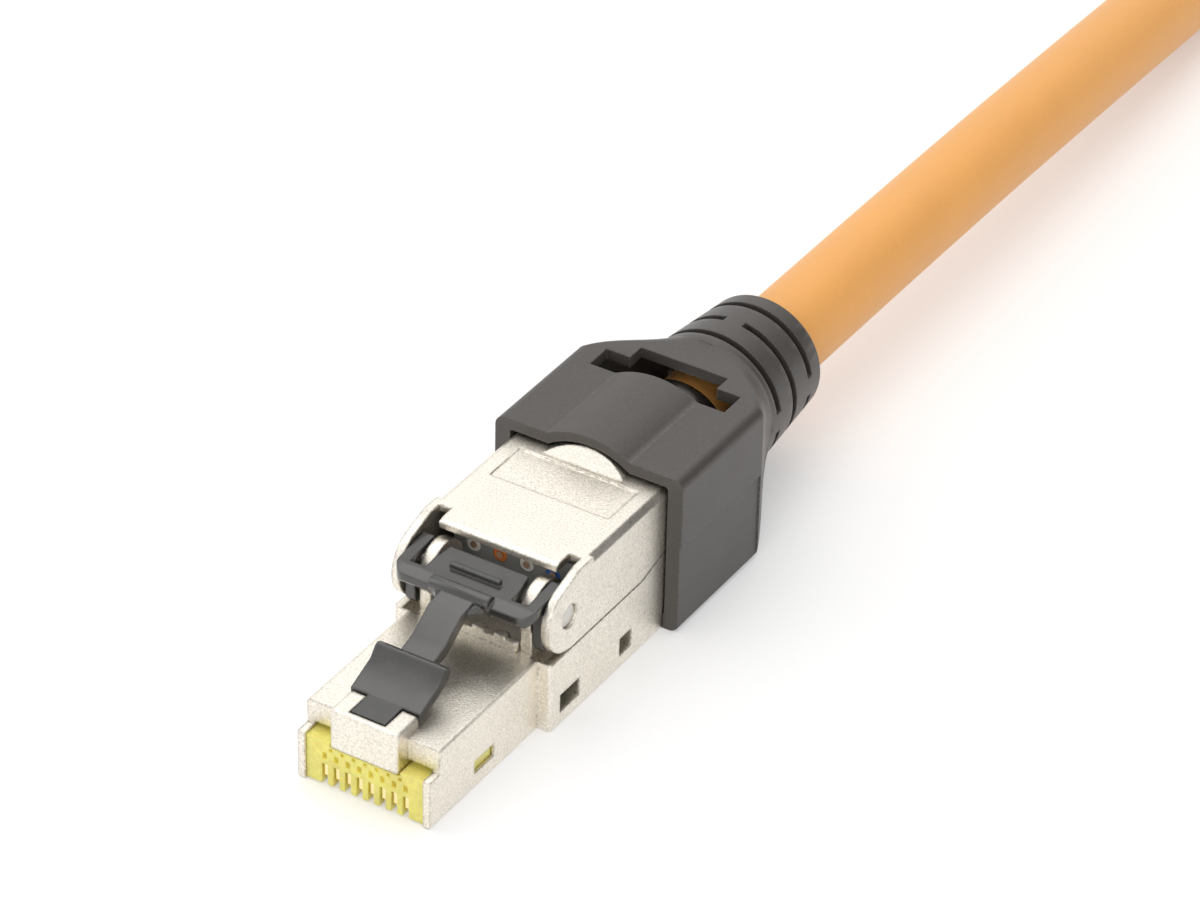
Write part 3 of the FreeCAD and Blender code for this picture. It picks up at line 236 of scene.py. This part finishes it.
def makeFinish(name, colour, roughness, grain, metallic=0.0, edge=None, principled=None):
    material = bpy.data.materials.new(name)
    material.use_nodes = True
    tree = material.node_tree
    shader = tree.nodes["Principled BSDF"]
    surface = useGroup(tree, grainGroup, {"Colour": (*colour, 1), "Roughness": roughness, **grain})
    result, normal = surface.outputs["Colour"], surface.outputs["Normal"]
    if edge:
        # The edge mask mixes in a painted reflection: a painted dark reflection on the cast metal, a painted
        # highlight on the latch and the hood
        paintedEdges = useGroup(tree, edgeGroup, {"Amount": edge["amount"], "Break-up": edge["breakUp"],
                                          "Width": edge["width"] * mm})
        result = mixColour(tree, paintedEdges.outputs["Mask"], result, (*edge["colour"], 1))
        normal = bumpNode(tree, surface.outputs["Grain"], grain["Relief"], grain["Depth"])
        tree.links.new(paintedEdges.outputs["Normal"], normal.node.inputs["Normal"])
    tree.links.new(result, shader.inputs["Base Color"])
    tree.links.new(surface.outputs["Roughness"], shader.inputs["Roughness"])
    tree.links.new(normal, shader.inputs["Normal"])
    shader.inputs["Metallic"].default_value = metallic
    for socket, value in (principled or {}).items():
        shader.inputs[socket].default_value = value
    return material


# Finishes by material slot: grain scales are per metre and relief depths in metres
finishes = {
    "die_cast": makeFinish(
        "nickelCasting", (0.87, 0.82, 0.73), 0.33,
        {"Grain scale": 6200.0, "Cloud scale": 260.0, "Speckle": 1.1, "Cloud": 0.12,
         "Relief": 1.0, "Depth": 0.00004}, metallic=1.0,
        # Edge colour: a painted dark reflection along the cast edges
        edge={"amount": 0.85, "colour": (0.27, 0.24, 0.19), "breakUp": 2600.0, "width": 0.3}),
    "pin_steel": makeFinish(
        "pinSteel", (0.66, 0.64, 0.61), 0.3,
        {"Grain scale": 7000.0, "Speckle": 0.2, "Cloud": 0.2, "Relief": 0.4}, metallic=1.0),
    "latch_black": makeFinish(
        "latchBlack", (0.034, 0.032, 0.03), 0.2,
        {"Grain scale": 9000.0, "Cloud scale": 500.0, "Speckle": 0.2, "Cloud": 0.3,
         "Relief": 0.25, "Depth": 0.000006},
        # Edge colour: a painted highlight along the latch's rims
        edge={"amount": 0.3, "colour": (0.11, 0.105, 0.1), "breakUp": 3000.0, "width": 0.25},
        principled={"Specular IOR Level": 1.0}),
    "contact_yellow": makeFinish(
        "yellowMoulding", (0.96, 0.82, 0.2), 0.2,
        {"Grain scale": 1500.0, "Cloud scale": 420.0, "Speckle": 0.5, "Cloud": 0.5,
         "Relief": 0.35, "Depth": 0.00004},
        principled={"Subsurface Weight": 0.5, "Subsurface Radius": (1.0, 0.7, 0.15),
                    "Subsurface Scale": 0.0012, "Coat Weight": 0.3}),
    "contact_gold": makeFinish(
        "goldBlade", (1.0, 0.88, 0.5), 0.22,
        {"Grain scale": 6000.0, "Speckle": 0.1, "Cloud": 0.15, "Relief": 0.2}, metallic=1.0),
    "board_green": makeFinish(
        "boardGreen", (0.03, 0.16, 0.07), 0.35,
        {"Grain scale": 3000.0, "Speckle": 0.2, "Cloud": 0.2, "Relief": 0.2}),
    "block_grey": makeFinish(
        "greyMoulding", (0.21, 0.215, 0.21), 0.5,
        {"Grain scale": 5000.0, "Cloud scale": 900.0, "Speckle": 0.25, "Cloud": 0.2,
         "Relief": 0.4, "Depth": 0.00001}),
    "terminal_tin": makeFinish(
        "tinnedBronze", (0.78, 0.75, 0.7), 0.3,
        {"Grain scale": 5000.0, "Speckle": 0.15, "Cloud": 0.15, "Relief": 0.3}, metallic=1.0),
    "core_copper": makeFinish(
        "bareCopper", (0.58, 0.4, 0.3), 0.34,
        {"Grain scale": 8000.0, "Speckle": 0.25, "Cloud": 0.2, "Relief": 0.5}, metallic=1.0),
    "foil_bright": makeFinish(
        "pairFoil", (0.85, 0.85, 0.86), 0.22,
        {"Grain scale": 1500.0, "Cloud scale": 300.0, "Speckle": 0.15, "Cloud": 0.2,
         "Relief": 0.8, "Depth": 0.00006}, metallic=1.0),
    "braid_tinned": makeFinish(
        "tinnedBraid", (0.72, 0.68, 0.62), 0.32,
        {"Grain scale": 4000.0, "Speckle": 0.3, "Cloud": 0.2, "Relief": 0.6, "Depth": 0.00002},
        metallic=1.0),
    "clamp_steel": makeFinish(
        "clampSheet", (0.78, 0.76, 0.72), 0.2,
        {"Grain scale": 5000.0, "Speckle": 0.12, "Cloud": 0.12, "Relief": 0.3}, metallic=1.0),
    "hood_charcoal": makeFinish(
        "hoodCharcoal", (0.074, 0.066, 0.06), 0.4,
        {"Grain scale": 6000.0, "Cloud scale": 350.0, "Speckle": 0.8, "Cloud": 0.12,
         "Relief": 0.6, "Depth": 0.000014},
        # Edge colour: a painted highlight along the hood's rims
        edge={"amount": 0.75, "colour": (0.19, 0.182, 0.17), "breakUp": 5200.0, "width": 0.18}),
    "jacket_orange": makeFinish(
        "orangeJacket", (0.95, 0.45, 0.118), 0.48,
        {"Grain scale": 3600.0, "Cloud scale": 160.0, "Speckle": 0.1, "Cloud": 0.12,
         "Relief": 0.3, "Depth": 0.00001},
        principled={"Subsurface Weight": 0.12, "Subsurface Radius": (1.0, 0.4, 0.1),
                    "Subsurface Scale": 0.001, "Sheen Weight": 0.3, "Sheen Roughness": 0.4,
                    "Sheen Tint": (1.0, 0.82, 0.66, 1)}),
}
wireGrain = {"Grain scale": 5000.0, "Cloud scale": 900.0, "Speckle": 0.12, "Cloud": 0.12, "Relief": 0.3}
wireRoughness = 0.4
wireColours = {
    "wire_white": (0.72, 0.7, 0.66),
    "wire_orange": (0.7, 0.19, 0.035),
    "wire_blue": (0.03, 0.13, 0.5),
    "wire_green": (0.03, 0.33, 0.08),
    "wire_brown": (0.2, 0.085, 0.035),
}
for slotName, colour in wireColours.items():
    finishes[slotName] = makeFinish(slotName + "Insulation", colour, wireRoughness, wireGrain)

slotOf = {part["node"]: part["material_slot"] for part in record["subparts"]}
bodyOf = {name: body for body, names in record["behaviour"]["bodies"].items() for name in names}
for name, piece in nodes.items():
    finish = finishes[slotOf[name]]
    if not piece.data.materials:
        piece.data.materials.append(finish)
    for index in range(len(piece.data.materials)):
        piece.data.materials[index] = finish
print("finishes made,", len(finishes))


# Rigid pieces: the solid's shape with the small radii that moulded and cast edges have
def seated(piece, body):
    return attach(piece, body)


def meshFromModifiers(piece):
    bpy.context.view_layer.update()
    graph = bpy.context.evaluated_depsgraph_get()
    result = bpy.data.meshes.new_from_object(piece.evaluated_get(graph))
    piece.modifiers.clear()
    piece.data = result
    return piece


def shadeSmooth(piece):
    piece.data.polygons.foreach_set("use_smooth", [True] * len(piece.data.polygons))


roundingSizes = {
    "mergeDistance": 0.0012,
    "flatAngle": 0.8,
    "edgeAngle": 32.0,
    "segments": 2,
    "sharpAngle": 38.0,
}


def roundedPiece(name, node, radius, sizes):
    mesh = nodes[node].data.copy()
    work = bmesh.new()
    work.from_mesh(mesh)
    bmesh.ops.remove_doubles(work, verts=work.verts, dist=sizes["mergeDistance"] * mm)
    bmesh.ops.dissolve_limit(work, angle_limit=math.radians(sizes["flatAngle"]), verts=work.verts,
                             edges=work.edges, delimit={"NORMAL"})
    work.to_mesh(mesh)
    work.free()
    piece = bpy.data.objects.new(name, mesh)
    scene.collection.objects.link(piece)
    if radius > 0:
        bevel = piece.modifiers.new("edges", "BEVEL")
        bevel.width = radius * mm
        bevel.segments = sizes["segments"]
        bevel.limit_method = "ANGLE"
        bevel.angle_limit = math.radians(sizes["edgeAngle"])
        bevel.use_clamp_overlap = True
        meshFromModifiers(piece)
    shadeSmooth(piece)
    piece.data.set_sharp_from_angle(angle=math.radians(sizes["sharpAngle"]))
    # Large faces stay flat beside their round edges
    flat = piece.modifiers.new("flatFaces", "WEIGHTED_NORMAL")
    flat.keep_sharp = True
    meshFromModifiers(piece)
    seated(piece, bodyOf[node])
    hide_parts(node)
    return piece


edgeRadii = {
    "lower_housing": 0.07,
    "lid": 0.09,
    "latch": 0.1,
    "hood": 0.12,
    "contact_block": 0.04,
    "wire_manager": 0.06,
    "hinge_pin_left": 0.06,
    "hinge_pin_right": 0.06,
    "cable_clamp": 0.05,
}
for node, radius in edgeRadii.items():
    roundedPiece(node + "_cast", node, radius, roundingSizes)
for node in nodes:
    if node.startswith(("wire_", "core_", "pair_foil_")) and node not in edgeRadii:
        roundedPiece(node + "_round", node, 0, roundingSizes)
print("rigid pieces rounded")


# Braid: bundles of fine wires that cross over and under each other round the jacket
braidSizes = {
    "radius": 3.85,
    "height": 8.1,
    "start": 8.25,
    "length": 8.05,
    "bundles": 22,
    "wires": 4,
    "pitch": 0.19,
    "wireRadius": 0.045,
    "wireSides": 5,
    "steps": 40,
    "twist": 1.5,
    "weave": 0.035,
}


def addNode(tree, kind, inputs=None, **settings):
    node = tree.nodes.new(kind)
    for name, value in settings.items():
        setattr(node, name, value)
    for name, value in (inputs or {}).items():
        linkOrSet(tree, node.inputs[name], value)
    return node


def braidHalf(tree, into, direction):
    # Straight wires on a cylinder, turned about its axis as they rise, and pushed in and out at the crossings
    size = into.outputs
    lines = addNode(tree, "GeometryNodeCurvePrimitiveLine")
    foot = addNode(tree, "ShaderNodeCombineXYZ", {"X": size["Radius"]})
    tree.links.new(foot.outputs[0], lines.inputs["Start"])
    top = addNode(tree, "ShaderNodeCombineXYZ", {"X": size["Radius"], "Z": size["Length"]})
    tree.links.new(top.outputs[0], lines.inputs["End"])
    fine = addNode(tree, "GeometryNodeResampleCurve", {"Curve": lines.outputs[0], "Count": size["Steps"]})
    count = mathNode(tree, "MULTIPLY", size["Bundles"], size["Wires"])
    points = addNode(tree, "GeometryNodePoints", {"Count": count})
    index = tree.nodes.new("GeometryNodeInputIndex").outputs[0]
    bundle = mathNode(tree, "FLOOR", mathNode(tree, "DIVIDE", index, size["Wires"]))
    within = mathNode(tree, "MODULO", index, size["Wires"])
    place = mathNode(tree, "ADD", bundle, mathNode(tree, "MULTIPLY", within, size["Pitch"]))
    angle = mathNode(tree, "DIVIDE", mathNode(tree, "MULTIPLY", place, 2 * math.pi), size["Bundles"])
    turn = addNode(tree, "ShaderNodeCombineXYZ", {"Z": angle})
    spread = addNode(tree, "GeometryNodeInstanceOnPoints",
                     {"Points": points.outputs[0], "Instance": fine.outputs[0], "Rotation": turn.outputs[0]})
    real = addNode(tree, "GeometryNodeRealizeInstances", {"Geometry": spread.outputs[0]})
    position = tree.nodes.new("GeometryNodeInputPosition").outputs[0]
    parts = addNode(tree, "ShaderNodeSeparateXYZ", {"Vector": position})
    around = mathNode(tree, "ARCTAN2", parts.outputs["Y"], parts.outputs["X"])
    rise = mathNode(tree, "DIVIDE", parts.outputs["Z"], size["Length"])
    twist = mathNode(tree, "MULTIPLY", mathNode(tree, "MULTIPLY", rise, size["Twist"]), direction)
    halfBundles = mathNode(tree, "DIVIDE", size["Bundles"], 2.0)
    phase = mathNode(tree, "MULTIPLY", mathNode(tree, "ADD", around, twist), halfBundles)
    depth = mathNode(tree, "MULTIPLY", size["Weave"], direction)
    push = mathNode(tree, "MULTIPLY", mathNode(tree, "SINE", phase), depth)
    scale = mathNode(tree, "ADD", 1.0, mathNode(tree, "DIVIDE", push, size["Radius"]))
    stretch = addNode(tree, "ShaderNodeCombineXYZ", {"X": scale, "Y": scale, "Z": 1.0})
    wide = addNode(tree, "ShaderNodeVectorMath", operation="MULTIPLY")
    tree.links.new(position, wide.inputs[0])
    tree.links.new(stretch.outputs[0], wide.inputs[1])
    spun = addNode(tree, "ShaderNodeVectorRotate", {"Vector": wide.outputs[0], "Angle": twist},
                   rotation_type="Z_AXIS")
    return addNode(tree, "GeometryNodeSetPosition",
                   {"Geometry": real.outputs[0], "Position": spun.outputs[0]}).outputs[0]


def buildBraidTree():
    tree = bpy.data.node_groups.new("braidWires", "GeometryNodeTree")
    tree.interface.new_socket("Geometry", in_out="INPUT", socket_type="NodeSocketGeometry")
    for name, kind in (("Radius", "Float"), ("Length", "Float"), ("Bundles", "Int"), ("Wires", "Int"),
                       ("Wire radius", "Float"), ("Twist", "Float"), ("Weave", "Float"),
                       ("Start", "Float"), ("Height", "Float"), ("Pitch", "Float"), ("Steps", "Int"),
                       ("Wire sides", "Int"), ("Material", "Material")):
        tree.interface.new_socket(name, in_out="INPUT", socket_type="NodeSocket" + kind)
    tree.interface.new_socket("Geometry", in_out="OUTPUT", socket_type="NodeSocketGeometry")
    into = tree.nodes.new("NodeGroupInput")
    out = tree.nodes.new("NodeGroupOutput")
    both = tree.nodes.new("GeometryNodeJoinGeometry")
    for direction in (1.0, -1.0):
        tree.links.new(braidHalf(tree, into, direction), both.inputs[0])
    profile = addNode(tree, "GeometryNodeCurvePrimitiveCircle",
                      {"Resolution": into.outputs["Wire sides"], "Radius": into.outputs["Wire radius"]})
    wires = addNode(tree, "GeometryNodeCurveToMesh",
                    {"Curve": both.outputs[0], "Profile Curve": profile.outputs[0], "Fill Caps": True})
    place = addNode(tree, "ShaderNodeCombineXYZ", {"Y": into.outputs["Start"], "Z": into.outputs["Height"]})
    laid = addNode(tree, "GeometryNodeTransform",
                   {"Geometry": wires.outputs[0], "Translation": place.outputs[0],
                    "Rotation": (-math.pi / 2, 0, 0)})
    real = addNode(tree, "GeometryNodeRealizeInstances", {"Geometry": laid.outputs[0]})
    painted = addNode(tree, "GeometryNodeSetMaterial",
                      {"Geometry": real.outputs[0], "Material": into.outputs["Material"]})
    tree.links.new(painted.outputs[0], out.inputs[0])
    return tree


def pieceFromTree(name, tree, values):
    piece = bpy.data.objects.new(name, bpy.data.meshes.new(name))
    scene.collection.objects.link(piece)
    modifier = piece.modifiers.new("nodes", "NODES")
    modifier.node_group = tree
    for socket in tree.interface.items_tree:
        if socket.item_type == "SOCKET" and socket.in_out == "INPUT" and socket.name in values:
            modifier[socket.identifier] = values[socket.name]
    return meshFromModifiers(piece)


def makeBraid(sizes):
    piece = pieceFromTree("braid_wires", buildBraidTree(), {
        "Radius": sizes["radius"] * mm, "Length": sizes["length"] * mm, "Bundles": sizes["bundles"],
        "Wires": sizes["wires"], "Wire radius": sizes["wireRadius"] * mm, "Twist": sizes["twist"],
        "Weave": sizes["weave"] * mm, "Start": sizes["start"] * mm, "Height": sizes["height"] * mm,
        "Pitch": sizes["pitch"], "Steps": sizes["steps"], "Wire sides": sizes["wireSides"],
        "Material": finishes["braid_tinned"]})
    shadeSmooth(piece)
    print("braid of", len(piece.data.polygons), "faces")
    return seated(piece, "housing")


makeBraid(braidSizes)


# Cable: one smooth line through the route of the source
cableSizes = {
    "diameter": 7.5,
    "route": [(0.0, 8.5, 8.1), (0.0, 50.5, 8.1), (-0.3, 92.5, 6.5), (-1.5, 116.5, 3.8)],
    "exit": (0.0, 20.0, 8.1),
    "length": 108.2,
    "order": 3,
    "stepsAlong": 32,
    "stepsAround": 16,
}


def makeCable(sizes):
    curve = bpy.data.curves.new("cable_line", "CURVE")
    curve.dimensions = "3D"
    spline = curve.splines.new("NURBS")
    spline.points.add(len(sizes["route"]) - 1)
    for point, place in zip(spline.points, sizes["route"]):
        point.co = (*(Vector(place) * mm), 1)
    spline.order_u = sizes["order"]
    spline.use_endpoint_u = True
    curve.resolution_u = sizes["stepsAlong"]
    curve.bevel_depth = sizes["diameter"] / 2 * mm
    curve.bevel_resolution = sizes["stepsAround"]
    curve.use_fill_caps = True
    curve.materials.append(finishes["jacket_orange"])
    piece = bpy.data.objects.new("cable_jacket", curve)
    scene.collection.objects.link(piece)
    seated(piece, "housing")
    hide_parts("cable")
    return piece


makeCable(cableSizes)
print("cable laid")


# Studio: a pale floor, and soft light from above, the back, the left and the front
def whiteToEye(tree, shader, strength):
    # Seen directly or in a reflection, the surface also glows, so it shows as white
    paths = tree.nodes.new("ShaderNodeLightPath")
    glow = tree.nodes.new("ShaderNodeEmission")
    seen = mathNode(tree, "MAXIMUM", paths.outputs["Is Camera Ray"], paths.outputs["Is Glossy Ray"])
    seen = mathNode(tree, "MAXIMUM", seen, paths.outputs["Is Transmission Ray"])
    tree.links.new(mathNode(tree, "MULTIPLY", seen, strength), glow.inputs["Strength"])
    both = tree.nodes.new("ShaderNodeAddShader")
    tree.links.new(shader, both.inputs[0])
    tree.links.new(glow.outputs[0], both.inputs[1])
    return both.outputs[0]


studioSizes = {
    "aim": (0, 0, 8),
    "floorHalf": 1500.0,
    "floorDrop": 0.02,
    "floorColour": (0.82, 0.82, 0.82),
    "floorGlow": 0.28,
    "world": 0.6,
    "worldSeen": 1.0,
    "worldMirrored": 0.82,
}
lampSizes = {
    "topSoftbox": {"place": (-60, 60, 420), "across": 420, "power": 0.62, "colour": (1.0, 0.99, 0.97)},
    "backSoftbox": {"place": (-190, 300, 260), "across": 300, "power": 0.08, "colour": (1.0, 0.99, 0.975)},
    "leftSoftbox": {"place": (-330, -120, 230), "across": 260, "power": 0.24, "colour": (1.0, 1.0, 1.0)},
    "frontSoftbox": {"place": (120, -420, 190), "across": 240, "power": 0.42, "colour": (1.0, 1.0, 1.0)},
}
squareCorners = ((-1, -1), (1, -1), (1, 1), (-1, 1))


def makeFloor(sizes):
    half = sizes["floorHalf"] * mm
    drop = sizes["floorDrop"] * mm
    mesh = bpy.data.meshes.new("floor")
    mesh.from_pydata([(x * half, y * half, -drop) for x, y in squareCorners], [], [(0, 1, 2, 3)])
    floor = bpy.data.objects.new("floor", mesh)
    scene.collection.objects.link(floor)
    paper = bpy.data.materials.new("paleFloor")
    paper.use_nodes = True
    tree = paper.node_tree
    tree.nodes.remove(tree.nodes["Principled BSDF"])
    matt = tree.nodes.new("ShaderNodeBsdfDiffuse")
    matt.inputs["Color"].default_value = (*sizes["floorColour"], 1)
    result = whiteToEye(tree, matt.outputs[0], sizes["floorGlow"])
    tree.links.new(result, tree.nodes["Material Output"].inputs["Surface"])
    mesh.materials.append(paper)


def makeWorld(sizes):
    world = bpy.data.worlds.new("softWorld")
    scene.world = world
    world.use_nodes = True
    tree = world.node_tree
    paths = tree.nodes.new("ShaderNodeLightPath")
    straight = mathNode(tree, "MAXIMUM", paths.outputs["Is Camera Ray"], paths.outputs["Is Transmission Ray"])
    extra = mathNode(tree, "MULTIPLY", straight, sizes["worldSeen"] - sizes["world"])
    glossy = paths.outputs["Is Glossy Ray"]
    mirrored = mathNode(tree, "MULTIPLY", glossy, sizes["worldMirrored"] - sizes["world"])
    strength = mathNode(tree, "ADD", mathNode(tree, "ADD", extra, mirrored), sizes["world"])
    tree.links.new(strength, tree.nodes["Background"].inputs["Strength"])
    tree.nodes["Background"].inputs["Color"].default_value = (1, 1, 1, 1)


def makeLamps(lamps, aim):
    for name, sizes in lamps.items():
        data = bpy.data.lights.new(name, "AREA")
        data.size = sizes["across"] * mm
        data.energy = sizes["power"]
        data.color = sizes["colour"]
        lamp = bpy.data.objects.new(name, data)
        scene.collection.objects.link(lamp)
        lamp.location = Vector(sizes["place"]) * mm
        toPlug = Vector(aim) * mm - lamp.location
        lamp.rotation_euler = toPlug.to_track_quat("-Z", "Y").to_euler()


# A dark card behind the plug on its right, which only reflections show
cardSizes = {
    "place": (285, 350, 225),
    "half": 200.0,
    "tone": 0.02,
}


def makeCard(sizes, aim):
    half = sizes["half"] * mm
    middle = Vector(sizes["place"]) * mm
    turn = (Vector(aim) * mm - middle).to_track_quat("Z", "Y").to_matrix()
    corners = [middle + turn @ Vector((x * half, y * half, 0)) for x, y in squareCorners]
    mesh = bpy.data.meshes.new("darkCard")
    mesh.from_pydata(corners, [], [(0, 1, 2, 3)])
    card = bpy.data.objects.new("darkCard", mesh)
    scene.collection.objects.link(card)
    card.visible_camera = card.visible_diffuse = card.visible_shadow = card.visible_transmission = False
    paint = bpy.data.materials.new("cardPaint")
    paint.use_nodes = True
    tree = paint.node_tree
    tree.nodes.remove(tree.nodes["Principled BSDF"])
    glow = tree.nodes.new("ShaderNodeEmission")
    glow.inputs["Color"].default_value = (1, 1, 1, 1)
    glow.inputs["Strength"].default_value = sizes["tone"]
    tree.links.new(glow.outputs[0], tree.nodes["Material Output"].inputs["Surface"])
    mesh.materials.append(paint)


makeFloor(studioSizes)
makeWorld(studioSizes)
makeCard(cardSizes, studioSizes["aim"])
makeLamps(lampSizes, studioSizes["aim"])
print("studio set")
